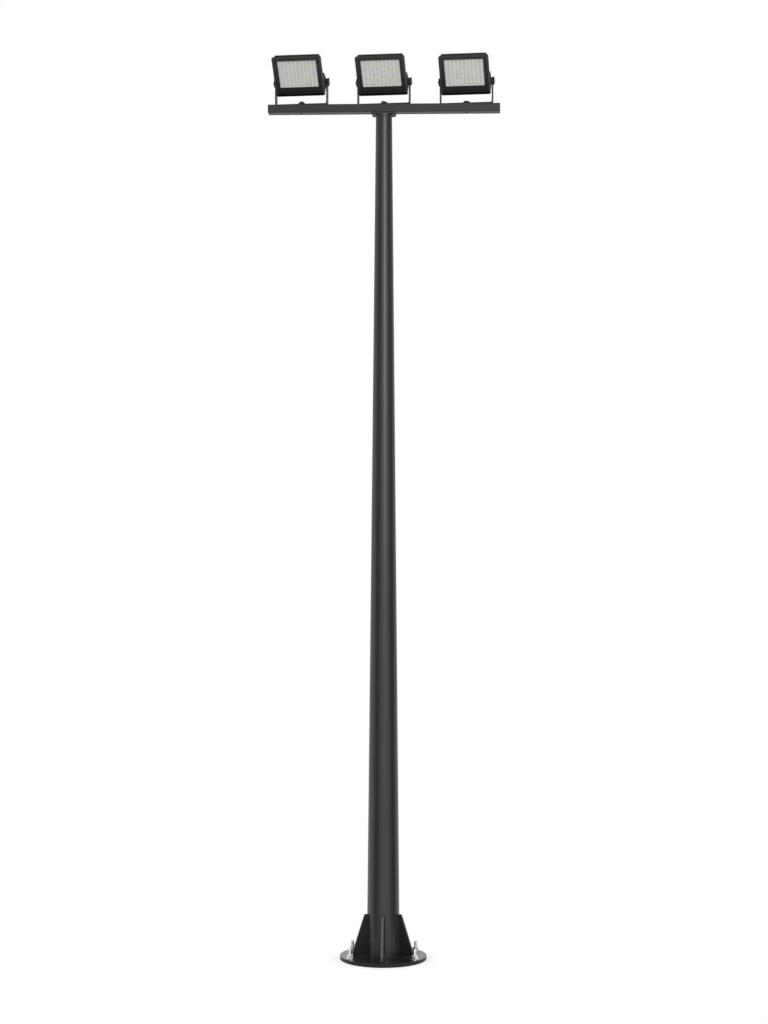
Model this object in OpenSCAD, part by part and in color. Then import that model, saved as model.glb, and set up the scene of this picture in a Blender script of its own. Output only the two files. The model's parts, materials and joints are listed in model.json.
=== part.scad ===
// Floodlight pole: a tapered round steel mast on a gusseted base plate, with a crossbar
// that carries three floodlights. Each floodlight swivels on a U-bracket and tilts in it.
// +Z is up and the floodlights face -Y. The origin is the centre of the base plate's
// underside, at ground level.

/* [Mast] */
// Height of the crossbar's top above the ground
mast_h = 6000; // [4000:10:8000]
// Outside diameter of the shaft at the base plate
shaft_d_foot = 232; // [200:1:250]
// Outside diameter of the shaft at its top
shaft_d_top = 114; // [95:1:118]
// Wall thickness of the shaft
shaft_wall = 5; // [3:0.5:8]

/* [Base plate] */
// Diameter of the base plate
plate_d = 608; // [560:1:700]
// Thickness of the base plate
plate_t = 25; // [15:1:40]
// Distance of the anchor holes' centres from the plate's edge
anchor_edge = 39; // [34:1:44]
// Angle of the anchor holes from the crossbar's direction
anchor_angle = 32; // [20:1:40]
// Diameter of an anchor hole
anchor_hole_d = 28; // [22:1:32]
// Diameter of the cable entry hole
cable_hole_d = 60; // [30:1:70]
// Distance of the cable entry hole behind the plate's centre
cable_hole_back = 55; // [50:1:60]

/* [Gussets] */
// Height of a gusset above the base plate
gusset_h = 292; // [200:1:400]
// Thickness of a gusset
gusset_t = 20; // [10:1:26]
// Width of a gusset's top edge, measured from the shaft's foot
gusset_top_w = 20; // [12:0.5:45]
// Width of a gusset's bottom edge, measured from the shaft's foot
gusset_foot_w = 108; // [85:0.5:120]
// Height of the upright edge at a gusset's toe
gusset_toe_h = 26; // [10:1:60]
// Side of the corner that is cut off over the weld at the mast's foot
gusset_notch = 8; // [4:1:20]

/* [Head] */
// Thickness of the flange under the crossbar
flange_t = 10; // [8:1:20]
// Diameter of the flange's opening, which clears the middle swivel bolt
flange_hole_d = 56; // [50:1:70]
// Width of the ring that the collar adds round the shaft's top
collar_wall = 4.5; // [4:0.5:8]
// Height of the collar
collar_h = 14; // [10:1:30]
// Diameter of the flange bolts
flange_bolt_d = 16; // [12:1:18]
// Space between the flange bolts' heads and the collar
flange_head_gap = 0.8; // [0.5:0.1:10]
// Distance of the flange bolts' axes from the flange's ends
flange_end = 18; // [15:1:30]
// Distance of the flange bolts' axes from the flange's front and back edges
flange_edge = 15; // [14:1:17]

/* [Crossbar] */
// Length of the crossbar's tube, without the end caps
bar_l = 1620; // [1560:10:2000]
// Height of the crossbar
bar_h = 58; // [40:1:80]
// Depth of the crossbar, from front to back
bar_depth = 100; // [80:1:120]
// Wall thickness of the crossbar
bar_wall = 3; // [2:0.5:5]
// Outer radius of the crossbar's long edges
bar_corner_r = 6; // [6:0.5:9]
// Thickness of the end caps' outer plate
cap_t = 5; // [3:1:10]
// Length of the end caps' plug inside the tube
cap_plug_l = 18; // [10:1:40]

/* [Brackets] */
// Distance of the outer floodlights' swivel axes from the tube's ends
lamp_end_gap = 230; // [200:1:240]
// Space between a floodlight's side and the bracket's arm
bracket_side_gap = 5.5; // [4:0.5:10]
// Width of the bracket's flat bar
bracket_w = 50; // [30:1:50]
// Thickness of the bracket's flat bar
bracket_t = 8; // [4:0.5:8]
// Inner radius of the bracket's bends
bracket_bend_r = 10; // [6:1:20]
// Radius of the rounded end of a bracket's arm
bracket_end_r = 26; // [20:1:28]
// Height of the tilt axis above the crossbar
pivot_h = 160; // [150:1:200]
// Diameter of the swivel bolt
swivel_bolt_d = 12; // [10:1:16]
// Diameter of the cup washer under the swivel nut
cup_d = 54; // [40:1:60]
// Height of the cup washer
cup_h = 12; // [8:1:16]
// Diameter of the tilt bolts
tilt_bolt_d = 10; // [8:1:12]
// Diameter of the clamping discs outside the arms
disc_d = 58; // [48:1:64]
// Thickness of the clamping discs
disc_t = 9; // [6:1:14]

/* [Aim] */
// Turn of the floodlights about the upright, towards the left
lamp_aim = 6.5; // [-20:0.5:20]
// Downward tilt of the floodlights' faces
lamp_tilt = 38; // [0:1:60]

/* [Floodlight] */
// Width of the floodlight's front frame
lamp_w = 347; // [325:1:390]
// Height of the front frame
lamp_h = 290; // [275:1:300]
// Outer corner radius of the front frame
lamp_corner_r = 14; // [8:1:20]
// Height of the tilt axis above the front frame's lower edge
pivot_up = 56; // [45:1:70]
// Distance from the front frame's face back to the tilt axis
pivot_back = 91; // [88:1:100]
// Thickness of the front frame
bezel_t = 10; // [8:1:14]
// Width of the frame's raised outer border
border_w = 14; // [8:1:18]
// Height of that border above the rest of the frame
border_rise = 4; // [2:0.5:5]
// Width of the glass that shows
glass_w = 275; // [240:1:285]
// Height of the glass that shows
glass_h = 201; // [170:1:205]
// Width of the frame above the glass
glass_top_margin = 25; // [22:1:30]
// Thickness of the glass
glass_t = 4; // [3:0.5:4]
// Width of the glass's edge that is held behind the frame
glass_edge = 6; // [4:1:8]
// Depth of the housing's front rim
rim_depth = 12; // [8:1:14]
// Depth of the housing's body behind the rim
body_depth = 15; // [10:1:16]
// How far the body's sides stand in from the rim
body_inset = 4; // [3:1:8]
// Wall thickness of the housing
housing_wall = 4; // [3:0.5:5]
// Thickness of the heat sink's base
sink_t = 4; // [3:0.5:6]
// Number of cooling fins
fin_count = 22; // [14:1:24]
// Thickness of a cooling fin
fin_t = 4; // [2:0.5:4]
// Depth of the cooling fins
fin_depth = 13; // [10:1:22]
// Width of the driver box on the housing's back
driver_w = 176; // [140:1:200]
// Height of the driver box
driver_h = 112; // [90:1:120]
// Depth of the driver box
driver_depth = 42; // [30:1:50]
// Diameter of the cable gland's body
gland_d = 20; // [16:1:22]

/* [Hidden] */
$fn = 96;

cut = 1;              // how far a cutting solid runs past the face it cuts
seat_gap = 0.2;       // gap at faces that are welded, glued or screwed together
turn_gap = 0.3;       // gap at faces that turn against each other
hole_gap = 0.25;      // radial clearance of a bolt in its hole

left = -1;            // place of each floodlight along the crossbar
centre = 0;
right = 1;

lamp_pitch = bar_l / 2 - lamp_end_gap;

// Heights along the mast
bar_bottom = mast_h - bar_h;
shaft_top = bar_bottom - flange_t;
shaft_l = shaft_top - plate_t;
shaft_taper = (shaft_d_foot - shaft_d_top) / 2 / shaft_l;

gusset_count = 5;
gusset_angle = 360 / gusset_count;

// The flange is as deep as the crossbar, and its bolts stand clear of the collar
collar_d = shaft_d_top + 2 * collar_wall;
flange_head_w = 1.5 * flange_bolt_d;
flange_bolt_r = (collar_d + flange_head_w / cos(30)) / 2 + flange_head_gap;
flange_bolt_y = bar_depth / 2 - flange_edge;
flange_bolt_x = sqrt(pow(flange_bolt_r, 2) - pow(flange_bolt_y, 2));
flange_w = 2 * (flange_bolt_x + flange_end);

// Bolts: widths across flats and heights of heads and nuts
flange_head_h = 0.65 * flange_bolt_d;
swivel_nut_w = 1.6 * swivel_bolt_d;
swivel_nut_h = 0.85 * swivel_bolt_d;
swivel_end_h = 5;
cup_rim = 2;          // how much wider the cup's top is than the nut
tilt_head_w = 1.7 * tilt_bolt_d;
tilt_head_h = 0.7 * tilt_bolt_d;

// Planes and places in a floodlight, measured from the tilt axis
face_y = -pivot_back;
frame_y = face_y + border_rise;
rim_y = face_y + bezel_t;
body_y = rim_y + rim_depth;
back_y = body_y + body_depth;
sink_y = back_y + sink_t;
lamp_mid_z = lamp_h / 2 - pivot_up;
lamp_top_z = lamp_h - pivot_up;
glass_mid_z = lamp_top_z - glass_top_margin - glass_h / 2;
glass_pocket_t = glass_t + 2 * seat_gap;
glass_y = rim_y - seat_gap - glass_t;
glass_corner_r = 5;
min_corner_r = 2;     // inner corners of the housing

// Lugs that carry the tilt bolts, seen from the side
lug_out = 1;          // how far the lugs stand out beyond the frame's sides
lug_x = lamp_w / 2 + lug_out;
lug_t = 14;
lug_r = 27;
lug_top_z = 92;
lug_shoulder_z = 84;
lug_bottom_z = -38;
lug_boss_d = 44;
arm_x = lamp_w / 2 + bracket_side_gap;
arm_out_x = arm_x + bracket_t;
disc_x = arm_out_x + turn_gap;
head_x = disc_x + disc_t;

board_t = 2;
board_back = 10;      // distance from the glass back to the light board
board_margin = 3;     // width of the board's edge behind the frame
board_post_d = 10;

driver_up = 6;        // how far the driver box sits above the housing's middle
driver_mid_z = lamp_mid_z + driver_up;
driver_corner_r = 8;
driver_fin_gap = 4;   // space between the driver box and the fins around it
gland_nut_w = 1.25 * gland_d;
gland_nut_h = 8;
gland_l = 22;
gland_bore_d = 0.5 * gland_d;

// ---- Plain shapes ----

module rounded_rect(w, h, r) {
    square([w - 2 * r, h], center = true);
    square([w, h - 2 * r], center = true);
    for (x = [-1, 1], y = [-1, 1])
        translate([x * (w / 2 - r), y * (h / 2 - r)]) circle(r);
}

// Carries an outline drawn in X and Z back along Y, from y0 over a depth t
module slab(y0, t) {
    translate([0, y0 + t, 0]) rotate([90, 0, 0]) linear_extrude(t) children();
}

// Carries an outline drawn in Y and Z along X, from x0 over a width t
module side_slab(x0, t) {
    translate([x0, 0, 0]) rotate([90, 0, 90]) linear_extrude(t) children();
}

module hexagon(across_flats, h) {
    cylinder(h = h, d = across_flats / cos(30), $fn = 6);
}

// Stands a solid drawn along +Z on the outside of the right or the left side
module on_side(side, x) {
    translate([side * x, 0, 0]) rotate([0, side * 90, 0]) children();
}

// ---- Foot ----

module anchor_places() {
    for (side = [0, 180], turn = [-1, 1])
        rotate([0, 0, side + turn * anchor_angle])
            translate([plate_d / 2 - anchor_edge, 0, 0]) children();
}

module base_plate() {
    color("dimgray")
    difference() {
        cylinder(h = plate_t, d = plate_d);
        translate([0, cable_hole_back, -cut]) cylinder(h = plate_t + 2 * cut, d = cable_hole_d);
        anchor_places() translate([0, 0, -cut]) cylinder(h = plate_t + 2 * cut, d = anchor_hole_d);
    }
}

// The shaft's outside, grown by a gap
module shaft_cone(gap) {
    translate([0, 0, plate_t])
        cylinder(h = shaft_l, d1 = shaft_d_foot + 2 * gap, d2 = shaft_d_top + 2 * gap);
}

// One of the gussets, numbered round the mast from the front one
module gusset(number) {
    inner_r = shaft_d_top / 2;
    foot_r = shaft_d_foot / 2;
    color("dimgray")
    difference() {
        rotate([0, 0, number * gusset_angle])
            translate([-gusset_t / 2, 0, plate_t])
                side_slab(0, gusset_t)
                    polygon([
                        [-inner_r, gusset_notch], [-foot_r, gusset_notch],
                        [-foot_r - gusset_notch, 0], [-foot_r - gusset_foot_w, 0],
                        [-foot_r - gusset_foot_w, gusset_toe_h],
                        [-foot_r - gusset_top_w, gusset_h], [-inner_r, gusset_h]
                    ]);
        shaft_cone(seat_gap);
    }
}

// ---- Shaft and head ----

module pole_shaft() {
    color("dimgray")
    difference() {
        shaft_cone(0);
        translate([0, 0, plate_t - cut])
            cylinder(
                h = shaft_l + 2 * cut,
                d1 = shaft_d_foot - 2 * shaft_wall + 2 * shaft_taper * cut,
                d2 = shaft_d_top - 2 * shaft_wall - 2 * shaft_taper * cut
            );
    }
}

module top_collar() {
    color("dimgray")
    difference() {
        translate([0, 0, shaft_top - collar_h]) cylinder(h = collar_h, d = collar_d);
        shaft_cone(seat_gap);
        translate([0, 0, shaft_top - cut])
            cylinder(h = 2 * cut, d = shaft_d_top + 2 * seat_gap);
    }
}

module flange_bolt_places() {
    for (x = [-1, 1], y = [-1, 1])
        translate([x * flange_bolt_x, y * flange_bolt_y, 0]) children();
}

module top_flange() {
    corner_r = 12;
    color("dimgray")
    translate([0, 0, shaft_top])
    difference() {
        linear_extrude(flange_t) rounded_rect(flange_w, bar_depth, corner_r);
        translate([0, 0, -cut]) cylinder(h = flange_t + 2 * cut, d = flange_hole_d);
        flange_bolt_places()
            translate([0, 0, -cut])
                cylinder(h = flange_t + 2 * cut, d = flange_bolt_d + 2 * hole_gap);
    }
}

module flange_bolts() {
    color("silver")
    flange_bolt_places() {
        translate([0, 0, shaft_top - flange_head_h]) hexagon(flange_head_w, flange_head_h);
        translate([0, 0, shaft_top - seat_gap])
            cylinder(h = flange_t + bar_wall + 2 * seat_gap, d = flange_bolt_d);
    }
}

// ---- Crossbar ----

module swivel_places() {
    for (place = [left, centre, right])
        translate([place * lamp_pitch, 0, 0]) children();
}

module crossbar() {
    color("dimgray")
    difference() {
        side_slab(-bar_l / 2, bar_l)
            translate([0, mast_h - bar_h / 2]) rounded_rect(bar_depth, bar_h, bar_corner_r);
        side_slab(-bar_l / 2 - cut, bar_l + 2 * cut)
            translate([0, mast_h - bar_h / 2])
                rounded_rect(bar_depth - 2 * bar_wall, bar_h - 2 * bar_wall, bar_corner_r - bar_wall);
        swivel_places()
            translate([0, 0, bar_bottom - cut])
                cylinder(h = bar_h + 2 * cut, d = swivel_bolt_d + 2 * hole_gap);
        flange_bolt_places()
            translate([0, 0, bar_bottom - cut])
                cylinder(h = bar_wall + 2 * cut, d = flange_bolt_d + 2 * hole_gap);
    }
}

module end_cap(side) {
    plug_inset = bar_wall + seat_gap;
    color("black")
    mirror([side == left ? 1 : 0, 0, 0])
    translate([0, 0, mast_h - bar_h / 2]) {
        side_slab(bar_l / 2, cap_t) rounded_rect(bar_depth, bar_h, bar_corner_r);
        side_slab(bar_l / 2 - cap_plug_l, cap_plug_l + cut)
            rounded_rect(
                bar_depth - 2 * plug_inset, bar_h - 2 * plug_inset, bar_corner_r - bar_wall
            );
    }
}

// Long bolts that run up through the crossbar, with a nut over each bracket
module swivel_bolts() {
    nut_bottom = mast_h + bracket_t + 2 * turn_gap + cup_h;
    color("silver")
    swivel_places() {
        translate([0, 0, bar_bottom - swivel_nut_h]) hexagon(swivel_nut_w, swivel_nut_h);
        translate([0, 0, nut_bottom]) hexagon(swivel_nut_w, swivel_nut_h);
        translate([0, 0, bar_bottom - cut])
            cylinder(
                h = nut_bottom + swivel_nut_h + swivel_end_h - bar_bottom + cut,
                d = swivel_bolt_d
            );
    }
}

module swivel_cups() {
    cup_top_d = swivel_nut_w / cos(30) + cup_rim;
    color("black")
    swivel_places()
        translate([0, 0, mast_h + bracket_t + 2 * turn_gap])
            difference() {
                cylinder(h = cup_h, d1 = cup_d, d2 = cup_top_d);
                translate([0, 0, -cut])
                    cylinder(h = cup_h + 2 * cut, d = swivel_bolt_d + 2 * seat_gap);
            }
}

// ---- Places of the floodlights ----

// On the crossbar, turned with the bracket
module at_bracket(place) {
    translate([place * lamp_pitch, 0, mast_h]) rotate([0, 0, -lamp_aim]) children();
}

// At the tilt axis, turned and tilted with the floodlight
module at_lamp(place) {
    at_bracket(place) translate([0, 0, pivot_h]) rotate([lamp_tilt, 0, 0]) children();
}

// ---- U-bracket ----

module bracket(place) {
    bend_out_r = bracket_bend_r + bracket_t;
    flat_half = arm_out_x - bend_out_r;
    color("black")
    at_bracket(place)
    translate([0, 0, turn_gap]) {
        difference() {
            translate([-flat_half, -bracket_w / 2, 0]) cube([2 * flat_half, bracket_w, bracket_t]);
            translate([0, 0, -cut])
                cylinder(h = bracket_t + 2 * cut, d = swivel_bolt_d + 2 * hole_gap);
        }
        for (side = [-1, 1])
            slab(-bracket_w / 2, bracket_w)
                translate([side * flat_half, bend_out_r])
                    intersection() {
                        difference() {
                            circle(bend_out_r);
                            circle(bracket_bend_r);
                        }
                        translate([side > 0 ? 0 : -bend_out_r, -bend_out_r])
                            square(bend_out_r);
                    }
        for (x = [-arm_out_x, arm_x])
            side_slab(x, bracket_t)
                difference() {
                    union() {
                        translate([-bracket_w / 2, bend_out_r])
                            square([bracket_w, pivot_h - turn_gap - bend_out_r]);
                        translate([0, pivot_h - turn_gap]) circle(bracket_end_r);
                    }
                    translate([0, pivot_h - turn_gap]) circle(d = tilt_bolt_d + 2 * hole_gap);
                }
    }
}

// ---- Floodlight ----

module lamp_outline(inset) {
    translate([0, lamp_mid_z])
        rounded_rect(lamp_w - 2 * inset, lamp_h - 2 * inset, max(lamp_corner_r - inset, min_corner_r));
}

module glass_outline(grow) {
    translate([0, glass_mid_z])
        rounded_rect(glass_w + 2 * grow, glass_h + 2 * grow, glass_corner_r);
}

module driver_outline(grow) {
    translate([0, driver_mid_z])
        rounded_rect(driver_w + 2 * grow, driver_h + 2 * grow, driver_corner_r);
}

// A lug seen from the side: broad on the housing, round about the tilt axis
module lug_outline() {
    side_y = lug_r * cos(30);
    side_z = lug_r * sin(30);
    circle(lug_r);
    polygon([
        [rim_y, lug_bottom_z], [back_y, lug_bottom_z], [-side_z, -side_y], [side_y, -side_z],
        [side_y, side_z], [back_y / 2, lug_shoulder_z], [back_y, lug_top_z], [rim_y, lug_top_z]
    ]);
}

// The lugs and their bosses, on both sides of the housing
module lugs() {
    for (side = [-1, 1])
        difference() {
            union() {
                side_slab(side > 0 ? lug_x - lug_t : -lug_x, lug_t) lug_outline();
                on_side(side, lug_x - cut)
                    cylinder(h = arm_x - turn_gap - lug_x + cut, d = lug_boss_d);
            }
            on_side(side, lug_x - lug_t - cut)
                cylinder(h = arm_x - lug_x + lug_t + 2 * cut, d = tilt_bolt_d + 2 * seat_gap);
        }
}

// A base with cooling fins up the housing's back, left out round the driver box
module heat_sink(place) {
    span = lamp_w - 2 * body_inset - 2 * lug_t;
    fin_pitch = (span - fin_t) / (fin_count - 1);
    fin_bottom_z = body_inset - pivot_up;
    driver_bottom_z = driver_mid_z - driver_h / 2;
    gland_room_w = gland_nut_w / cos(30) + 2 * driver_fin_gap;
    color("black")
    at_lamp(place) {
        slab(back_y + seat_gap, sink_t - seat_gap)
            translate([0, lamp_mid_z]) square([span, lamp_h - 2 * body_inset], center = true);
        difference() {
            for (i = [0 : fin_count - 1])
                translate([i * fin_pitch - span / 2, back_y + seat_gap, fin_bottom_z])
                    cube([fin_t, sink_t + fin_depth - seat_gap, lamp_h - body_inset]);
            slab(sink_y, fin_depth + cut) driver_outline(driver_fin_gap);
            slab(sink_y, fin_depth + cut)
                translate([-gland_room_w / 2, driver_bottom_z - gland_l - driver_fin_gap])
                    square([gland_room_w, gland_l + driver_fin_gap]);
        }
    }
}

module housing(place) {
    color("black")
    at_lamp(place) {
        difference() {
            union() {
                slab(rim_y + seat_gap, rim_depth - seat_gap) lamp_outline(0);
                slab(body_y - cut, body_depth + cut) lamp_outline(body_inset);
            }
            slab(rim_y - cut, rim_depth + body_depth - housing_wall + cut)
                lamp_outline(body_inset + housing_wall);
        }
        lugs();
    }
}

module bezel(place) {
    color("black")
    at_lamp(place)
    difference() {
        slab(face_y, bezel_t) lamp_outline(0);
        slab(face_y - cut, border_rise + cut) lamp_outline(border_w);
        slab(face_y - cut, bezel_t + 2 * cut) glass_outline(0);
        slab(rim_y - glass_pocket_t, glass_pocket_t + cut) glass_outline(glass_edge + seat_gap);
    }
}

module lamp_glass(place) {
    color("lightgray", 0.4)
    at_lamp(place) slab(glass_y, glass_t) glass_outline(glass_edge);
}

module led_board(place) {
    board_y = glass_y + glass_t + board_back;
    post_x = glass_w / 2 - board_post_d;
    post_z = glass_h / 2 - board_post_d;
    color("gainsboro")
    at_lamp(place) {
        slab(board_y, board_t) glass_outline(board_margin);
        for (x = [-1, 1], z = [-1, 1])
            slab(board_y + board_t - cut, back_y - housing_wall - seat_gap - board_y - board_t + cut)
                translate([x * post_x, glass_mid_z + z * post_z]) circle(d = board_post_d);
    }
}

module driver_box(place) {
    color("black")
    at_lamp(place) slab(sink_y + seat_gap, driver_depth) driver_outline(0);
}

// A gland under the driver box, with its clamping nut and an open bore
module cable_gland(place) {
    color("dimgray")
    at_lamp(place)
    translate([0, sink_y + driver_depth / 2, driver_mid_z - driver_h / 2 - seat_gap])
    mirror([0, 0, 1])
    difference() {
        union() {
            hexagon(gland_nut_w, gland_nut_h);
            cylinder(h = gland_l, d = gland_d);
        }
        translate([0, 0, -cut]) cylinder(h = gland_l + 2 * cut, d = gland_bore_d);
    }
}

module pivot_bolts(place) {
    color("silver")
    at_lamp(place)
    for (side = [-1, 1]) {
        on_side(side, head_x + seat_gap) hexagon(tilt_head_w, tilt_head_h);
        on_side(side, lug_x - lug_t)
            cylinder(h = head_x + seat_gap + cut - lug_x + lug_t, d = tilt_bolt_d);
    }
}

module clamp_discs(place) {
    color("black")
    at_lamp(place)
    for (side = [-1, 1])
        on_side(side, disc_x)
            difference() {
                cylinder(h = disc_t, d = disc_d);
                translate([0, 0, -cut]) cylinder(h = disc_t + 2 * cut, d = tilt_bolt_d + 2 * seat_gap);
            }
}

base_plate();
gusset(0);  // gusset_front
gusset(1);  // gusset_right
gusset(2);  // gusset_back_right
gusset(3);  // gusset_back_left
gusset(4);  // gusset_left
pole_shaft();
top_collar();
top_flange();
flange_bolts();
crossbar();
end_cap(left);  // end_cap_left
end_cap(right);  // end_cap_right
swivel_bolts();
swivel_cups();
bracket(left);  // left_bracket
housing(left);  // left_housing
heat_sink(left);  // left_heat_sink
bezel(left);  // left_bezel
lamp_glass(left);  // left_glass
led_board(left);  // left_led_board
driver_box(left);  // left_driver_box
cable_gland(left);  // left_cable_gland
pivot_bolts(left);  // left_pivot_bolts
clamp_discs(left);  // left_clamp_discs
bracket(centre);  // centre_bracket
housing(centre);  // centre_housing
heat_sink(centre);  // centre_heat_sink
bezel(centre);  // centre_bezel
lamp_glass(centre);  // centre_glass
led_board(centre);  // centre_led_board
driver_box(centre);  // centre_driver_box
cable_gland(centre);  // centre_cable_gland
pivot_bolts(centre);  // centre_pivot_bolts
clamp_discs(centre);  // centre_clamp_discs
bracket(right);  // right_bracket
housing(right);  // right_housing
heat_sink(right);  // right_heat_sink
bezel(right);  // right_bezel
lamp_glass(right);  // right_glass
led_board(right);  // right_led_board
driver_box(right);  // right_driver_box
cable_gland(right);  // right_cable_gland
pivot_bolts(right);  // right_pivot_bolts
clamp_discs(right);  // right_clamp_discs
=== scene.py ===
import json
import math

import bpy
from mathutils import Matrix, Vector


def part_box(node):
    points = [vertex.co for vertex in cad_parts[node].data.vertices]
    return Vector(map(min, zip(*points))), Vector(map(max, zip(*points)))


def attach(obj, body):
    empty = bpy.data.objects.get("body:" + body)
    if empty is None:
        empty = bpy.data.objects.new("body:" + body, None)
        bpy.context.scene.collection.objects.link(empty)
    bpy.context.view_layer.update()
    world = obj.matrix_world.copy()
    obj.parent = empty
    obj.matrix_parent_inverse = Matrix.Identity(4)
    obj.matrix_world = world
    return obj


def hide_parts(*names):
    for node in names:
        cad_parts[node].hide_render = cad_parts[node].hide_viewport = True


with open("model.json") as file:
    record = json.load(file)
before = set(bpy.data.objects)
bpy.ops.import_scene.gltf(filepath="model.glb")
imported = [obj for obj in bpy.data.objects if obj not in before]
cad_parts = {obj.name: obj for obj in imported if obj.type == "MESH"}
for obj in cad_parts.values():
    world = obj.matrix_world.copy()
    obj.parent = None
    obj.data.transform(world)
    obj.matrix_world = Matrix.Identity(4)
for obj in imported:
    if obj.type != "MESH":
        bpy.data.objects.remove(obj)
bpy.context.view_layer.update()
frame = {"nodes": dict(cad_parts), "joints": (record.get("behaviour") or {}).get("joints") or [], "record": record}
scene = bpy.context.scene
nodes = frame["nodes"]
joints = {joint["name"]: joint for joint in frame["joints"]}
mounts = {mount["name"]: mount for mount in frame["record"]["mounts"]}
places = ("left", "centre", "right")
diagonals = [(first, second) for first in (-1, 1) for second in (-1, 1)]
print("frame loaded:", len(nodes), "nodes")


class Wire:
    # One output socket. An expression on it adds a Math node.
    def __init__(self, paint, socket):
        self.paint = paint
        self.socket = socket

    def calculate(self, operation, other):
        return self.paint.add("ShaderNodeMath", {"operation": operation}, {0: self, 1: other})

    def __add__(self, other):
        return self.calculate("ADD", other)

    def __mul__(self, other):
        return self.calculate("MULTIPLY", other)

    def __radd__(self, other):
        return self.calculate("ADD", other)

    def __rsub__(self, other):
        return self.paint.add("ShaderNodeMath", {"operation": "SUBTRACT"}, {0: other, 1: self})


class Paint:
    # A material, or the world, that is put together node by node
    def __init__(self, name, owner=None):
        self.owner = owner or bpy.data.materials.new(name)
        self.owner.use_nodes = True
        self.tree = self.owner.node_tree
        self.tree.nodes.clear()

    def add(self, kind, settings=None, values=None, output=0):
        node = self.tree.nodes.new(kind)
        for key, value in (settings or {}).items():
            setattr(node, key, value)
        for key, value in (values or {}).items():
            if isinstance(value, Wire):
                self.tree.links.new(value.socket, node.inputs[key])
            else:
                node.inputs[key].default_value = value
        return Wire(self, node.outputs[output] if len(node.outputs) else None)

    def where(self):
        return self.add("ShaderNodeTexCoord", output="Object")

    def place(self, stretch=(1, 1, 1)):
        return self.add("ShaderNodeMapping", values={"Vector": self.where(), "Scale": stretch})

    def noise(self, scale, detail=3.0, stretch=(1, 1, 1)):
        values = {"Vector": self.place(stretch), "Scale": scale, "Detail": detail}
        return self.add("ShaderNodeTexNoise", values=values, output="Fac")

    def cells(self, scale):
        values = {"Vector": self.place(), "Scale": scale}
        return self.add("ShaderNodeTexVoronoi", values=values, output="Color")

    def band(self, value, low, high):
        # 0 below low and 1 above high, smooth between them
        settings = {"interpolation_type": "SMOOTHSTEP"}
        return self.add("ShaderNodeMapRange", settings, {0: value, 1: low, 2: high})

    def blend(self, amount, first, second):
        return self.add("ShaderNodeMix", {"data_type": "RGBA"}, {0: amount, 6: first, 7: second}, 2)

    def relief(self, height, distance):
        return self.add("ShaderNodeBump", values={"Height": height, "Distance": distance})

    def height(self):
        return self.add("ShaderNodeSeparateXYZ", values={0: self.where()}, output="Z")

    def distance(self, vector):
        return self.add("ShaderNodeVectorMath", {"operation": "LENGTH"}, {0: vector}, "Value")

    def faces(self, axis):
        # How far a surface faces along an axis of the object, from -1 to 1
        way = self.add("ShaderNodeTexCoord", output="Normal")
        return self.add("ShaderNodeSeparateXYZ", values={0: way}, output=axis)

    def finish(self, **values):
        named = {key.replace("_", " "): value for key, value in values.items()}
        shader = self.add("ShaderNodeBsdfPrincipled", values=named)
        self.add("ShaderNodeOutputMaterial", values={"Surface": shader})
        return self.owner


def rgb(red, green, blue):
    return (red, green, blue, 1.0)


mastCoat = {
    "colour": (0.0215, 0.0220, 0.0240),
    "worn": (0.034, 0.034, 0.036),
    "dust": rgb(0.16, 0.155, 0.145),
    "dustTop": 0.16,        # height that splashed dust reaches
    "rough": 0.30,
}


def mastPaint(name, lift=1.0, rough=0.0, specular=0.46):
    paint = Paint(name)
    colour, worn = [rgb(*[c * lift for c in mastCoat[key]]) for key in ("colour", "worn")]
    clouds = paint.noise(2.2, 4.0, (1, 1, 0.25))
    runs = paint.band(paint.noise(7.0, 5.0, (1, 1, 0.045)), 0.52, 0.74)
    low = 1 - paint.band(paint.height(), 0.02, mastCoat["dustTop"])
    dust = low * paint.band(paint.noise(34.0, 6.0), 0.46, 0.78) * 0.22
    grain = paint.noise(900.0, 2.0)
    base = paint.blend(clouds * 0.7, colour, worn)
    base = paint.blend(runs * 0.18, base, worn)
    return paint.finish(
        Base_Color=paint.blend(dust, base, mastCoat["dust"]),
        Roughness=mastCoat["rough"] + rough + clouds * 0.06 + dust * 0.5 + grain * 0.04,
        Specular_IOR_Level=specular,
        Normal=paint.relief(grain + paint.noise(260.0, 2.0) * 0.7, 0.00004),
    )


gussetCoat = {
    # Darker than the shaft's coat: painted shade on the gussets' side faces
    "deep": rgb(0.0065, 0.0066, 0.0072),
    "faded": rgb(0.0105, 0.0106, 0.0112),
    "paintedEdgeLight": rgb(0.080, 0.082, 0.087),
    "slope": (0.10, 0.24),  # how far up a face looks where the painted highlight starts and is whole
    "toeStart": 0.0012,
    "toeWhole": 0.0006,
    "rough": 0.42,
}


def gussetPaint(name):
    # A matt coat, with a painted highlight along the sloping edges and the toe, where the light catches them
    paint = Paint(name)
    clouds = paint.noise(9.0, 4.0)
    values = {0: paint.where(), 1: (1, 1, 0)}
    away = paint.distance(paint.add("ShaderNodeVectorMath", {"operation": "MULTIPLY"}, values))
    toe = -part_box("gusset_front")[0].y
    sloping = paint.band(paint.faces("Z"), *gussetCoat["slope"])
    toeHighlight = paint.band(away, toe - gussetCoat["toeStart"], toe - gussetCoat["toeWhole"])
    # Painted shade: the base is far darker than the shaft's coat
    base = paint.blend(clouds * 0.6, gussetCoat["deep"], gussetCoat["faded"])
    return paint.finish(
        # Painted highlight where the light catches the sloping edges and the toe
        Base_Color=paint.blend(sloping.calculate("MAXIMUM", toeHighlight), base, gussetCoat["paintedEdgeLight"]),
        Roughness=gussetCoat["rough"] + clouds * 0.08,
        Specular_IOR_Level=0.22,
        Normal=paint.relief(paint.noise(260.0, 2.0), 0.00002),
    )


plateCoat = {
    "deep": rgb(0.017, 0.017, 0.018),
    "faded": rgb(0.024, 0.024, 0.025),
    "rough": 0.40,
    "polish": 0.18,         # taken off the roughness on top
    "coat": 0.35,
}


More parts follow.
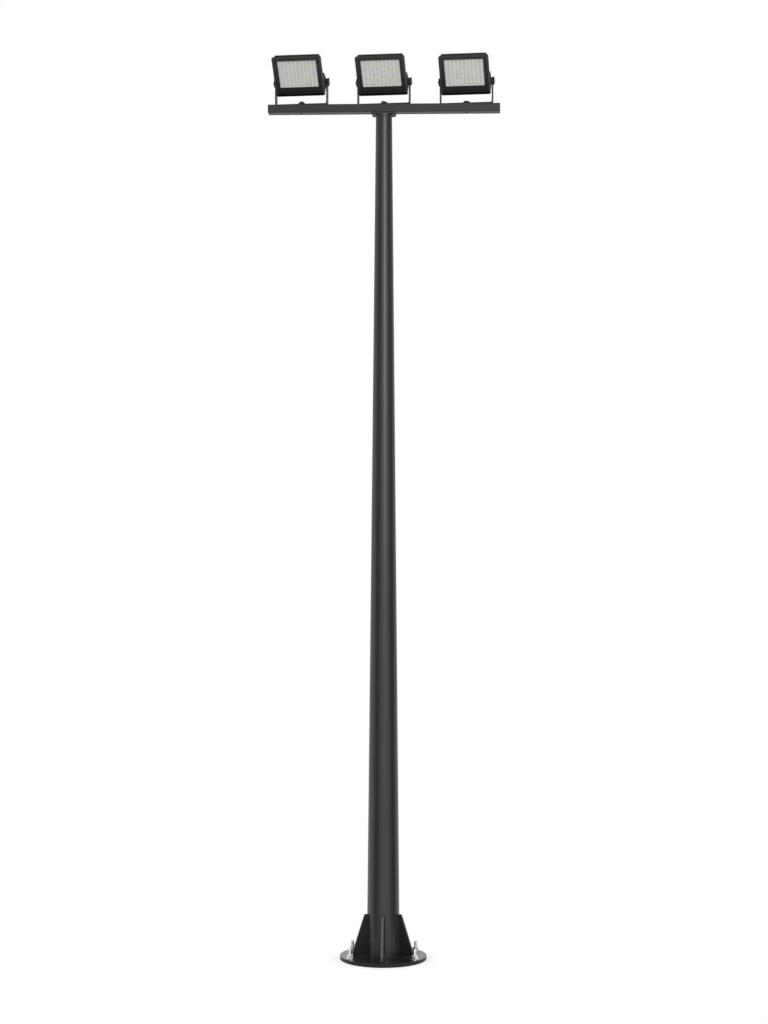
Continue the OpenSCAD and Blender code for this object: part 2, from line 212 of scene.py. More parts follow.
def plateWork(name):
    # Polished by boots on its top, and left matt round its rim
    paint = Paint(name)
    clouds = paint.noise(6.0, 4.0)
    top = paint.band(paint.faces("Z"), 0.55, 0.90)
    dust = paint.band(paint.noise(30.0, 6.0), 0.48, 0.80)
    base = paint.blend(clouds * 0.6, plateCoat["deep"], plateCoat["faded"])
    return paint.finish(
        Base_Color=paint.blend(dust * top * 0.12, base, mastCoat["dust"]),
        Roughness=plateCoat["rough"] - top * plateCoat["polish"] + dust * 0.06,
        Specular_IOR_Level=0.14,
        Coat_Weight=top * plateCoat["coat"],
        Coat_Roughness=0.16,
        Coat_IOR=1.5,
        Normal=paint.relief(clouds, 0.00002),
    )


castCoat = {
    "black": 0.012,
    # Painted light: paler towards the top of the lamp and on faces turned left and right; painted shade underneath
    "paintedTopLight": 0.026,        # added from the foot of a lamp to its head
    "patches": 0.006,
    "left": 0.024,
    "right": 0.085,
    "margin": 0.02,
    "shade": 0.75,          # taken off underneath
    "rough": 0.45,
}


def castingCoat(name):
    # Black cast aluminium, with painted light: paler towards the top of the lamp and on faces turned left and
    # right, and painted shade underneath
    paint = Paint(name)
    patches = paint.noise(16.0, 4.0)
    grain = paint.noise(1700.0, 2.0)
    low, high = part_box("centre_bezel")
    rise = paint.band(paint.height(), low.z - castCoat["margin"], high.z + castCoat["margin"])
    across = paint.faces("X")
    upright = paint.faces("Z")
    under = paint.band(0 - upright, 0.68, 0.84)
    left = paint.band(0 - across, 0.25, 0.60)
    right = paint.band(across, 0.30, 0.62) * (1 - paint.band(across, 0.80, 0.93))
    # Painted light by height and by which way a face turns, over the random patches
    pale = castCoat["black"] + rise * castCoat["paintedTopLight"] + patches * castCoat["patches"]
    pale = pale + left * castCoat["left"] + right * castCoat["right"]
    # Painted shade underneath
    amount = pale * (1 - under * castCoat["shade"])
    return paint.finish(
        Base_Color=paint.blend(amount, rgb(0, 0, 0), rgb(0.97, 0.98, 1.0)),
        Roughness=castCoat["rough"] + patches * 0.08 + grain * 0.05,
        Specular_IOR_Level=0.06,
        Normal=paint.relief(grain, 0.00005),
    )


def powderCoat(name, colour, rough, grainScale=1300.0, specular=0.5):
    # A matt, finely textured stove enamel
    paint = Paint(name)
    patches = paint.noise(16.0, 4.0)
    grain = paint.noise(grainScale, 2.0)
    lighter = rgb(*[c * 1.5 for c in colour[:3]])
    return paint.finish(
        Base_Color=paint.blend(patches * 0.5, colour, lighter),
        Roughness=rough + patches * 0.08 + grain * 0.05,
        Specular_IOR_Level=specular,
        Normal=paint.relief(grain, 0.00008),
    )


def platedSteel(name, colour, rough):
    # Bright zinc: drawn lines and a faint yellow cast in patches
    paint = Paint(name)
    patches = paint.noise(70.0, 4.0)
    lines = paint.noise(420.0, 3.0, (1, 1, 0.2))
    warm = (colour[0] * 0.86, colour[1] * 0.82, colour[2] * 0.70, 1)
    return paint.finish(
        Base_Color=paint.blend(patches * 0.6, colour, warm),
        Metallic=1.0,
        Roughness=rough + lines * 0.12 + patches * 0.1,
        Normal=paint.relief(lines, 0.00002),
    )


zincCoat = {
    "bright": rgb(0.72, 0.73, 0.75),
    "brightest": rgb(0.84, 0.85, 0.87),
    "dull": rgb(0.50, 0.51, 0.52),
    "rough": 0.25,
}


def dippedZinc(name):
    # Hot-dip zinc: spangles, with dull grey weathering between them
    paint = Paint(name)
    spangle = paint.cells(150.0)
    shade = paint.add("ShaderNodeRGBToBW", values={0: spangle})
    dull = paint.band(paint.noise(45.0, 5.0), 0.40, 0.70)
    base = paint.blend(shade, zincCoat["bright"], zincCoat["brightest"])
    return paint.finish(
        Base_Color=paint.blend(dull * 0.25, base, zincCoat["dull"]),
        Metallic=1 - dull * 0.15,
        Roughness=zincCoat["rough"] + shade * 0.04 + dull * 0.10,
        Normal=paint.relief(shade, 0.00001),
    )


def lampGlass(name):
    # Clear glass that only shows its edge-on glare and a few smears
    paint = Paint(name)
    smears = paint.band(paint.noise(24.0, 5.0), 0.45, 0.80)
    edge = paint.add("ShaderNodeFresnel", values={"IOR": 1.5})
    return paint.finish(
        Base_Color=paint.blend(smears, rgb(0.74, 0.77, 0.80), rgb(0.76, 0.76, 0.74)),
        Roughness=0.04 + smears * 0.10,
        Alpha=0.03 + edge * 0.4 + smears * 0.03,
    )


def lightBoard(name):
    # White solder mask with faint copper runs that show through it
    paint = Paint(name)
    tracks = paint.band(paint.noise(120.0, 1.0, (1, 1, 4)), 0.56, 0.60)
    return paint.finish(
        Base_Color=paint.blend(tracks * 0.35, rgb(0.74, 0.74, 0.765), rgb(0.68, 0.68, 0.67)),
        Roughness=0.34 + tracks * 0.1,
        Normal=paint.relief(tracks, 0.00004),
    )


def phosphor(name, fresh, aged):
    # The yellow gel over a light, which ages by the batch
    paint = Paint(name)
    grain = paint.noise(2600.0, 2.0)
    batch = paint.band(paint.noise(30.0, 3.0), 0.40, 0.60)
    return paint.finish(
        Base_Color=paint.blend(batch * 0.6 + grain * 0.3, fresh, aged),
        Roughness=0.30 + grain * 0.15,
        Normal=paint.relief(grain, 0.00003),
    )


def softBlack(name, colour, rough, scale):
    # Rubber and moulded nylon
    paint = Paint(name)
    grain = paint.noise(scale, 3.0)
    bloom = paint.band(paint.noise(40.0, 4.0), 0.45, 0.75)
    return paint.finish(
        Base_Color=paint.blend(bloom * 0.5, colour, tuple(c + 0.018 for c in colour[:3]) + (1,)),
        Roughness=rough + bloom * 0.1,
        Normal=paint.relief(grain, 0.00005),
    )


paints = {
    "mast_paint": mastPaint("mastPaint"),
    "bracket_paint": powderCoat("bracketPaint", rgb(0.026, 0.026, 0.028), 0.38, specular=0.25),
    "black_paint": powderCoat("blackPaint", rgb(0.009, 0.009, 0.010), 0.45, specular=0.22),
    "dark_bolts": powderCoat("darkBolts", rgb(0.030, 0.030, 0.032), 0.34, specular=0.4),
    "zinc_bolts": platedSteel("brightZinc", rgb(0.66, 0.65, 0.62), 0.22),
    "lamp_casting": castingCoat("castingCoat"),
    "lamp_glass": lampGlass("lampGlass"),
    "light_board": lightBoard("lightBoard"),
    "black_plastic": softBlack("blackNylon", rgb(0.016, 0.016, 0.016), 0.45, 900.0),
}
dippedPaint = dippedZinc("dippedZinc")
phosphorPaints = (
    phosphor("phosphorWarm", rgb(0.60, 0.51, 0.21), rgb(0.70, 0.62, 0.33)),
    phosphor("phosphorPale", rgb(0.76, 0.72, 0.47), rgb(0.70, 0.65, 0.40)),
)
sealPaint = softBlack("sealRubber", rgb(0.010, 0.010, 0.010), 0.65, 1200.0)
packagePaint = powderCoat("packageWhite", rgb(0.48, 0.475, 0.42), 0.45, 900.0)
trayPaint = powderCoat("trayWhite", rgb(0.60, 0.605, 0.62), 0.45, 900.0)
weldPaint = mastPaint("weldPaint", 0.6, 0.10, 0.22)
finPaint = powderCoat("finCoat", rgb(0.014, 0.014, 0.015), 0.65, 1700.0, 0.03)
barPaint = mastPaint("barPaint", 0.92, 0.12, 0.25)
footPaint = gussetPaint("footPaint")
platePaint = plateWork("platePaint")
finishOf = {"crossbar": barPaint, "top_flange": barPaint, "base_plate": platePaint}
finishOf.update({place + "_heat_sink": finPaint for place in places})
slotOf = {part["node"]: part["material_slot"] for part in frame["record"]["subparts"]}
for nodeName, node in nodes.items():
    node.data.materials.clear()
    finish = footPaint if nodeName.startswith("gusset_") else paints[slotOf[nodeName]]
    node.data.materials.append(finishOf.get(nodeName, finish))
print("finishes made:", len(bpy.data.materials))


def polar(sizeAt, z, count):
    # A ring round Z, whose distance from the axis depends on the angle
    ring = []
    for i in range(count):
        angle = 2 * math.pi * i / count
        size = sizeAt(angle)
        ring.append(Vector((size * math.cos(angle), size * math.sin(angle), z)))
    return ring


def circle(radius, z, count):
    return polar(lambda angle: radius, z, count)


def lathe(profile, count=48):
    return [circle(radius, z, count) for radius, z in profile]


def roundedRect(width, height, corner, y, steps=6):
    # Lies in X and Z at a depth y, and runs anticlockwise as seen from the front
    ring = []
    for quarter, (sx, sz) in enumerate(((1, 1), (-1, 1), (-1, -1), (1, -1))):
        for step in range(steps + 1):
            angle = math.pi / 2 * (quarter + step / steps)
            x = sx * (width / 2 - corner) + corner * math.cos(angle)
            z = sz * (height / 2 - corner) + corner * math.sin(angle)
            ring.append(Vector((x, y, z)))
    return ring


def hexSize(acrossFlats, angle):
    turn = (math.degrees(angle) - 30) % 60
    return acrossFlats / 2 / math.cos(math.radians(min(turn, 60 - turn)))


hexShape = {"points": 72, "turned": 0.97, "slope": math.tan(math.radians(30)), "boreEdge": 0.08}


def hexRings(acrossFlats, low, high, chamferLow=False, bore=0.0):
    # A bolt head or nut along Z, with the arcs that turning leaves on its corners
    count = hexShape["points"]
    turned = acrossFlats / 2 * hexShape["turned"]
    angles = [2 * math.pi * i / count for i in range(count)]
    sizes = [hexSize(acrossFlats, a) for a in angles]
    drop = [max(0.0, size - turned) * hexShape["slope"] for size in sizes]
    lower = [low + d if chamferLow else low for d in drop]
    upper = [high - d for d in drop]
    rings = [circle(turned, low, count)] if chamferLow else []
    for levels in (lower, upper):
        around = zip(angles, sizes, levels)
        rings.append([Vector((s * math.cos(a), s * math.sin(a), z)) for a, s, z in around])
    rings.append(circle(turned, high, count))
    if bore:
        edge = bore * hexShape["boreEdge"]
        rings.append(circle(bore + edge, high, count))
        rings.append(circle(bore, high - edge, count))
    return rings


thread = {"points": 24, "rowsPerTurn": 6, "endSlope": 0.9}


def threadRings(radius, pitch, low, high, depthShare=0.54):
    # A screw thread: each ring's radius follows the helix round
    depth = pitch * depthShare
    count = thread["points"]
    rows = round((high - low) / pitch * thread["rowsPerTurn"])
    rings = []
    for row in range(rows + 1):
        z = low + (high - low) * row / rows
        ring = []
        for i in range(count):
            phase = (z / pitch - i / count) % 1
            size = radius - depth * abs(2 * phase - 1)
            size = min(size, radius - depth + thread["endSlope"] * (high - z))
            angle = 2 * math.pi * i / count
            ring.append(Vector((size * math.cos(angle), size * math.sin(angle), z)))
        rings.append(ring)
    return rings


def newObject(name, data):
    made = bpy.data.objects.new(name, data)
    scene.collection.objects.link(made)
    return made


class Shape:
    # Gathers lofts into one mesh
    def __init__(self):
        self.points = []
        self.faces = []

    def loft(self, rings, matrix=Matrix(), capStart=True, capEnd=True, loop=False, flip=False):
        start = len(self.points)
        count = len(rings[0])
        for ring in rings:
            self.points += [matrix @ point for point in ring]
        made = []
        for low in range(len(rings) if loop else len(rings) - 1):
            high = (low + 1) % len(rings)
            for i in range(count):
                j = (i + 1) % count
                made.append((low * count + i, low * count + j, high * count + j, high * count + i))
        if capStart and not loop:
            made.append(range(count)[::-1])
        if capEnd and not loop:
            made.append(range((len(rings) - 1) * count, len(rings) * count))
        for face in made:
            ordered = face[::-1] if flip else face
            self.faces.append([start + corner for corner in ordered])
        return self

    def piece(self, name, paint, body, slot=None, sharp=35.0, stands=()):
        mesh = bpy.data.meshes.new(name)
        mesh.from_pydata(self.points, [], self.faces)
        mesh.validate()
        mesh.materials.append(paint)
        mesh.shade_smooth()
        mesh.set_sharp_from_angle(angle=math.radians(sharp))
        made = newObject(name, mesh)
        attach(made, body)
        if stands:
            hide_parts(*stands)
        return made


def radial(point):
    return Vector((point.x, point.y, 0)).normalized()


weld = {
    "foot": 0.006, "upright": 0.0075, "toe": 0.005, "collar": 0.005,
    "snipe": 0.010,         # the corner cut off a gusset, where the foot's weld passes
    "end": 0.002,
    "footGap": 0.004,
    "step": 0.0014, "points": 7, "sink": 0.0006, "crown": 0.22,
    "ripple": 0.0055, "rippleDepth": 0.07,
    "startShare": 0.35,     # how much of its size a weld has where it starts
}


def bead(shape, path, firstSide, second, size, matrix=Matrix()):
    # A fillet weld along a path, between two faces that lead away from it
    steps = weld["points"]
    travelled = 0.0
    rings = []
    for index, point in enumerate(path):
        if index:
            travelled += (point - path[index - 1]).length
        fade = min(1.0, weld["startShare"] + travelled / (3 * size))
        wave = weld["rippleDepth"] * math.cos(2 * math.pi * travelled / weld["ripple"])
        leg = size * fade * (1 + wave)
        first = firstSide(point) if callable(firstSide) else firstSide
        ring = [point - (first + second) * weld["sink"]]
        for step in range(steps):
            angle = math.pi / 2 * step / (steps - 1)
            spread = (1 + weld["crown"] * math.sin(2 * angle)) / (math.cos(angle) + math.sin(angle))
            ring.append(point + (first * math.cos(angle) + second * math.sin(angle)) * leg * spread)
        rings.append(ring)
    shape.loft(rings, matrix)


def along(start, end):
    count = int((end - start).length / weld["step"])
    return [start.lerp(end, i / count) for i in range(count + 1)]


def rimRadius(nodeName, z):
    tolerance = 0.001
    near = [v.co for v in nodes[nodeName].data.vertices if abs(v.co.z - z) < tolerance]
    return max(math.hypot(co.x, co.y) for co in near)


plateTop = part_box("base_plate")[1].z
shaftLow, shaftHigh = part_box("pole_shaft")
footRadius = rimRadius("pole_shaft", shaftLow.z)
headRadius = rimRadius("pole_shaft", shaftHigh.z)


def shaftRadius(z):
    share = (z - shaftLow.z) / (shaftHigh.z - shaftLow.z)
    return footRadius + (headRadius - footRadius) * share


anchor = {
    "studRadius": 0.012, "studFoot": 0.001, "pitch": 0.003, "threadShare": 0.17,
    "reach": 0.0415,        # above the nut
    "nutWidth": 0.041, "nutHeight": 0.024, "nutTurn": (0.40, 0.62, 0.75, 0.30),
    "washerRadius": 0.029, "washerThick": 0.0045, "washerBore": 1.08,
    "burr": 0.0006, "round": 0.0012,
}


def anchors():
    dims = mounts["anchor_holes"]["dims"]
    halfX = dims["spacing_x_mm"] / 2000
    halfY = dims["spacing_y_mm"] / 2000
    washerTop = plateTop + anchor["washerThick"]
    nutTop = washerTop + anchor["nutHeight"]
    outer = anchor["washerRadius"]
    inner = anchor["studRadius"] * anchor["washerBore"]
    burr = anchor["burr"]
    edge = anchor["round"]
    profile = [
        (inner, plateTop), (outer - burr, plateTop), (outer, plateTop + burr),
        (outer, washerTop - edge), (outer - edge, washerTop), (inner, washerTop),
    ]
    radius = anchor["studRadius"]
    studTop = nutTop + anchor["reach"]
    rod = threadRings(radius, anchor["pitch"], anchor["studFoot"], studTop, anchor["threadShare"])
    hexagon = hexRings(anchor["nutWidth"], washerTop, nutTop, True, radius)
    for number, (sx, sy) in enumerate(diagonals, 1):
        spin = Matrix.Rotation(anchor["nutTurn"][number - 1], 4, "Z")
        turn = Matrix.Translation((sx * halfX, sy * halfY, 0)) @ spin
        stud = Shape().loft(rod, turn)
        nut = Shape().loft(hexagon, turn, capEnd=False)
        washer = Shape().loft(lathe(profile), turn, loop=True)
        for title, shape, sharp in (("Stud", stud, 50), ("Nut", nut, 30), ("Washer", washer, 30)):
            shape.piece(f"anchor{title}_{number}", dippedPaint, "mast", "zinc_bolts", sharp)


anchors()

gussetNames = [name for name in nodes if name.startswith("gusset_")]
frontLow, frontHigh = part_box("gusset_front")
gussetHalf = (frontHigh.x - frontLow.x) / 2
gussetToe = -frontLow.y


def gussetAngle(name):
    low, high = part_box(name)
    middle = (low + high) / 2
    return math.atan2(middle.y, middle.x)


def onShaft(side, z):
    # Where a gusset's side face meets the shaft, for a gusset that points along +X
    return Vector((math.sqrt(shaftRadius(z) ** 2 - gussetHalf ** 2), side * gussetHalf, z))


def gussetWeld(number, name):
    turn = Matrix.Rotation(gussetAngle(name), 4, "Z")
    up = Vector((0, 0, 1))
    out = Vector((1, 0, 0))
    beads = Shape()
    for side in (-1, 1):
        aside = Vector((0, side, 0))
        foot = onShaft(side, plateTop + weld["snipe"])
        head = onShaft(side, frontHigh.z - weld["end"])
        bead(beads, along(foot, head), out, aside, weld["upright"], turn)
        near = Vector((footRadius + weld["snipe"], side * gussetHalf, plateTop))
        far = Vector((gussetToe - weld["end"], side * gussetHalf, plateTop))
        bead(beads, along(near, far), aside, up, weld["toe"], turn)
    toe = [Vector((gussetToe, side * gussetHalf, plateTop)) for side in (-1, 1)]
    bead(beads, along(*toe), out, up, weld["toe"], turn)
    beads.piece(f"gussetWeld_{number}", weldPaint, "mast", "mast_paint", 60)


for number, name in enumerate(gussetNames, 1):
    gussetWeld(number, name)


def footWeld():
    # Runs round the shaft's foot from gusset to gusset
    beads = Shape()
    angles = sorted(gussetAngle(name) % (2 * math.pi) for name in gussetNames)
    gap = (gussetHalf + weld["footGap"]) / footRadius
    count = 260
    for start, end in zip(angles, angles[1:] + [angles[0] + 2 * math.pi]):
        arc = [start + gap + (end - start - 2 * gap) * i / count for i in range(count + 1)]
        path = [Vector((footRadius * math.cos(a), footRadius * math.sin(a), plateTop)) for a in arc]
        bead(beads, path, radial, Vector((0, 0, 1)), weld["foot"])
    beads.piece("footWeld", weldPaint, "mast", "mast_paint", 60)


footWeld()
print("foot made")


seam = {
    "width": 0.007, "rise": 0.0007, "step": 0.004, "points": 5, "sink": 0.002,
    "start": 0.012,         # above the shaft's foot
    "ends": 0.04,           # the length that both ends together leave bare
    "waver": 0.25, "waverStep": 2.1,
}


def shaftSeam():
    # The shaft's long weld, ground nearly flush, up its back
    rows = int((shaftHigh.z - shaftLow.z - seam["ends"]) / seam["step"])
    last = seam["points"] - 1
    rings = []
    for row in range(rows + 1):
        z = shaftLow.z + seam["start"] + row * seam["step"]
        radius = shaftRadius(z)
        rise = seam["rise"] * (1 + seam["waver"] * math.cos(row * seam["waverStep"]))
        ring = []
        for step in range(seam["points"]):
            x = seam["width"] * (step / last - 0.5)
            lift = rise * math.sin(math.pi * step / last)
            ring.append(Vector((x, math.sqrt(radius ** 2 - x ** 2) + lift, z)))
        ring.append(Vector((0, radius - seam["sink"], z)))
        rings.append(ring)
    shape = Shape().loft(rings, flip=True)
    shape.piece("shaftSeam", paints["mast_paint"], "mast", "mast_paint", 60)


def collarWeld():
    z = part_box("top_collar")[0].z
    path = circle(shaftRadius(z), z, 300)
    shape = Shape()
    bead(shape, path + path[:1], radial, Vector((0, 0, -1)), weld["collar"])
    shape.piece("collarWeld", paints["mast_paint"], "mast", "mast_paint", 60)


shaftSeam()
collarWeld()

headBolt = {
    "width": 0.024, "height": 0.0104, "radius": 0.008, "shankStart": 0.001,
    "washerRadius": 0.0145, "washerThick": 0.002, "washerEdge": 0.0004,
    "spin": (0.5, 0.9),     # turns each head its own way
}


def washerRings(radius, thick, edge):
    return lathe([(radius, 0), (radius, thick - edge), (radius - edge, thick)])


def headBolts():
    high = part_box("flange_bolts")[1]
    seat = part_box("top_flange")[0].z
    corner = headBolt["width"] / math.cos(math.radians(30)) / 2
    thick = headBolt["washerThick"]
    washer = washerRings(headBolt["washerRadius"], thick, headBolt["washerEdge"])
    shank = [(headBolt["radius"], -headBolt["shankStart"]), (headBolt["radius"], seat - high.z)]
    spinX, spinY = headBolt["spin"]
    bolts = Shape()
    for sx, sy in diagonals:
        x = sx * (high.x - corner)
        y = sy * (high.y - headBolt["width"] / 2)
        spin = Matrix.Rotation(spinX * sx + spinY * sy, 4, "Z")
        down = Matrix.Translation((x, y, seat)) @ Matrix.Rotation(math.pi, 4, "X") @ spin
        bolts.loft(hexRings(headBolt["width"], thick, headBolt["height"]), down)
        bolts.loft(washer, down)
        bolts.loft(lathe(shank), down, flip=True)
    bolts.piece("headBolts", paints["dark_bolts"], "mast", "dark_bolts", 30, ["flange_bolts"])


headBolts()
print("head made")


swivel = {
    "radius": 0.006, "pitch": 0.00175, "threadStart": 0.004, "shankEnd": 0.003, "shankStart": 0.001,
    "nutWidth": 0.027, "nutHeight": 0.0062, "reach": 0.0012,
    "washerRadius": 0.018, "washerThick": 0.001, "washerWall": 0.0006,
    "skirtRadius": 0.0238,  # the washer's skirt hangs round the cup
    "skirtDrop": 0.0078,
    "domeRadius": 0.012, "domeHeight": 0.0055, "domeSink": 0.0003,
    "domeSteps": (0, 0.35, 0.7, 1.05, 1.35),
    "spin": (0.4, 3),       # turns each nut its own way
}


def swivelBolts():
    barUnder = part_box("crossbar")[0].z
    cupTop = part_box("swivel_cups")[1].z
    nutLow = cupTop + swivel["washerThick"]
    nutHigh = nutLow + swivel["nutHeight"]
    rim = swivel["washerRadius"]
    wall = swivel["washerWall"]
    hem = swivel["skirtRadius"]
    hemLow = cupTop - swivel["skirtDrop"]
    skirt = [(hem - wall, hemLow), (hem, hemLow + wall), (hem - wall, hemLow + wall * 6)]
    skirt += [(rim, nutLow - wall), (rim - wall, nutLow)]
    radius = swivel["radius"]
    nut = hexRings(swivel["nutWidth"], nutLow, nutHigh, True, radius)
    studTop = nutHigh + swivel["reach"]
    stud = threadRings(radius, swivel["pitch"], cupTop - swivel["threadStart"], studTop)
    shank = [(radius, barUnder - swivel["shankStart"]), (radius, cupTop - swivel["shankEnd"])]
    wide = swivel["domeRadius"]
    tall = swivel["domeHeight"]
    dome = [(wide, -swivel["domeSink"])]
    dome += [(wide * math.cos(a), tall * math.sin(a)) for a in swivel["domeSteps"]]
    spin, spinByX = swivel["spin"]
    bolts = Shape()
    heads = Shape()
    for name in places:
        x, y = joints[name + "_swivel"]["pos_m"][:2]
        turn = Matrix.Translation((x, y, 0)) @ Matrix.Rotation(spin + spinByX * x, 4, "Z")
        heads.loft(lathe(skirt), turn)
        bolts.loft(nut, turn, capEnd=False)
        bolts.loft(stud, turn)
        bolts.loft(lathe(shank), turn)
        under = Matrix.Translation((x, y, barUnder)) @ Matrix.Rotation(math.pi, 4, "X")
        heads.loft(lathe(dome), under)
    heads.piece("swivelHeads", paints["dark_bolts"], "mast", "zinc_bolts", 32)
    bolts.piece("swivelNuts", paints["zinc_bolts"], "mast", "zinc_bolts", 32, ["swivel_bolts"])


swivelBolts()
print("crossbar made")


def lampMatrix(name):
    # From a floodlight's own axes, where it faces -Y, to how it stands at rest
    tilt = joints[name + "_tilt"]
    ax, ay = tilt["axis"][:2]
    lean = math.radians(-tilt["range_deg"][0])
    turn = Matrix.Rotation(math.atan2(ay, ax), 4, "Z") @ Matrix.Rotation(lean, 4, "X")
    return Matrix.Translation(tilt["pos_m"]) @ turn


def localPoints(nodeName, matrix):
    back = matrix.inverted()
    return [back @ v.co for v in nodes[nodeName].data.vertices]


def localBox(nodeName, matrix):
    points = localPoints(nodeName, matrix)
    low = Vector([min(p[i] for p in points) for i in range(3)])
    high = Vector([max(p[i] for p in points) for i in range(3)])
    return low, high


def paneRing(name, matrix, inset, corner, y):
    # A rounded rectangle round the middle of a lamp's glass, set in from the pane's edge
    low, high = localBox(name + "_glass", matrix)
    middle = Vector((0, 0, (low.z + high.z) / 2))
    ring = roundedRect(high.x - low.x - 2 * inset, high.z - low.z - 2 * inset, corner, y)
    return [point + middle for point in ring]


ways = {
    "front": Matrix.Rotation(math.pi / 2, 4, "X"),
    "back": Matrix.Rotation(-math.pi / 2, 4, "X"),
    "down": Matrix.Rotation(math.pi, 4, "X"),
    "right": Matrix.Rotation(math.pi / 2, 4, "Y"),
    "left": Matrix.Rotation(-math.pi / 2, 4, "Y"),
}


def facing(matrix, x, y, z, way):
    # Stands a shape that is built along +Z at a place in the lamp
    return matrix @ Matrix.Translation((x, y, z)) @ ways[way]


def lampPiece(shape, name, title, slot, sharp, paint=None, stands=None):
    # A piece that moves with a floodlight, and may stand for one of its nodes
    stood = [f"{name}_{stands}"] if stands else ()
    shape.piece(f"{name}_{title}", paint or paints[slot], name + "_lamp", slot, sharp, stood)


screwShape = {
    "points": 36, "sink": 0.0005, "socketFloor": 0.2,
    "profile": ((1.0, 0.45), (0.86, 0.85), (0.70, 1.0)),
}


def socketScrew(shape, place, radius, height, socket):
    # A round-headed screw with a hexagon socket
    count = screwShape["points"]
    rings = [circle(radius, -screwShape["sink"], count)]
    rings += [circle(radius * share, height * rise, count) for share, rise in screwShape["profile"]]
    for z in (height, height * screwShape["socketFloor"]):
        rings.append(polar(lambda a: hexSize(socket, a), z, count))
    shape.loft(rings, place)


def loopSweep(shape, ring, centre, radius, matrix, steps=8):
    # A round bead along a closed ring that lies in X and Z
    turns = [2 * math.pi * s / steps for s in range(steps)]
    forward = Vector((0, -1, 0))
    rings = []
    for point in ring:
        out = Vector((point.x - centre.x, 0, point.z - centre.z)).normalized()
        rings.append([point + (out * math.cos(t) + forward * math.sin(t)) * radius for t in turns])
    shape.loft(rings, matrix, loop=True)


# The frame's section from its back edge round its face to the glass: how far each edge
# stands in from the side, the top and the bottom, its depth behind the face, and its corners
castSection = (
    (-0.0020, -0.0050, -0.0060, 0.0100, 0.016), (-0.0020, -0.0046, -0.0056, 0.0092, 0.016),
    (-0.0012, -0.0036, 0.0012, 0.0071, 0.0145), (0.0076, 0.0056, 0.0150, 0.0006, 0.010),
    (0.0088, 0.0068, 0.0164, 0.0, 0.009), (0.0132, 0.0100, 0.0240, 0.0, 0.007),
    (0.0138, 0.0106, 0.0248, 0.0007, 0.0066), (0.0141, 0.0109, 0.0252, 0.0062, 0.006),
    (0.0172, 0.0132, 0.0300, 0.0064, 0.005), (0.0178, 0.0138, 0.0308, 0.0046, 0.005),
    (0.0186, 0.0146, 0.0316, 0.0040, 0.005),
)
# Then round the opening: how far outside the opening's edge, the depth, and the corners
openingSection = (
    (0.0008, 0.0040, 0.0058), (0.0, 0.0048, 0.005), (0.0, 0.0056, 0.005),
    (0.0062, 0.0056, 0.005), (0.0062, 0.0100, 0.005),
)
frameFront = {
    "rise": 0.004, "glassEdge": 0.006,
    "screw": (0.0042, 0.0026, 0.0042),      # radius, height and socket
    "screwsUp": (0.030, 0.110), "screwsDown": (0.100, 0.034),
    "sealRadius": 0.0016, "sealCorner": 0.005,
}


def lampCasting(name, matrix):
    low, high = localBox(name + "_bezel", matrix)
    paneLow, paneHigh = localBox(name + "_glass", matrix)
    edge = frameFront["glassEdge"]
    side = high.x - paneHigh.x + edge
    top = high.z - paneHigh.z + edge
    bottom = paneLow.z + edge - low.z
    sections = list(castSection)
    for out, depth, corner in openingSection:
        sections.append((side - out, top - out, bottom - out, depth, corner))
    rings = []
    for aside, above, below, depth, corner in sections:
        width = high.x - low.x - 2 * aside
        height = high.z - low.z - above - below
        middle = Vector((0, 0, (high.z - above + low.z + below) / 2))
        ring = roundedRect(width, height, corner, low.y + depth, 8)
        rings.append([point + middle for point in ring])
    casting = Shape().loft(rings, matrix, loop=True)
    lampPiece(casting, name, "frontFrame", "lamp_casting", 18, stands="bezel")


def lampFrame(name, matrix):
    # The screws and the seal in the frame's front
    low, high = localBox(name + "_bezel", matrix)
    paneLow, paneHigh = localBox(name + "_glass", matrix)
    edge = frameFront["glassEdge"]
    borderEnd = high.x - castSection[-1][0]
    sideX = (borderEnd + paneHigh.x - edge) / 2
    rows = [low.z + up for up in frameFront["screwsUp"]]
    rows += [high.z - down for down in frameFront["screwsDown"]]
    screws = Shape()
    for side in (-1, 1):
        for z in rows:
            place = facing(matrix, side * sideX, low.y + frameFront["rise"], z, "front")
            socketScrew(screws, place, *frameFront["screw"])
    lampPiece(screws, name, "frameScrews", "black_paint", 35)
    seal = Shape()
    ring = paneRing(name, matrix, edge, frameFront["sealCorner"], paneLow.y)
    loopSweep(seal, ring, (paneLow + paneHigh) / 2, frameFront["sealRadius"], matrix)
    lampPiece(seal, name, "glassSeal", "black_plastic", 50, sealPaint)


lights = {
    "columns": 9, "rows": 10, "pitchX": 0.027, "pitchZ": 0.0189,
    "package": (0.0136, 0.0128), "packageCorner": 0.0008, "thick": 0.0012, "sink": 0.0001,
    "wallShare": 0.8, "edge": 0.0006, "edgeCorner": 0.0007,
    "pad": (0.0112, 0.0104), "padCorner": 0.3, "padSink": 0.0002,
    "dome": 0.0009, "domeRings": ((1.0, 0.0), (0.86, 0.6), (0.55, 1.0)),
}


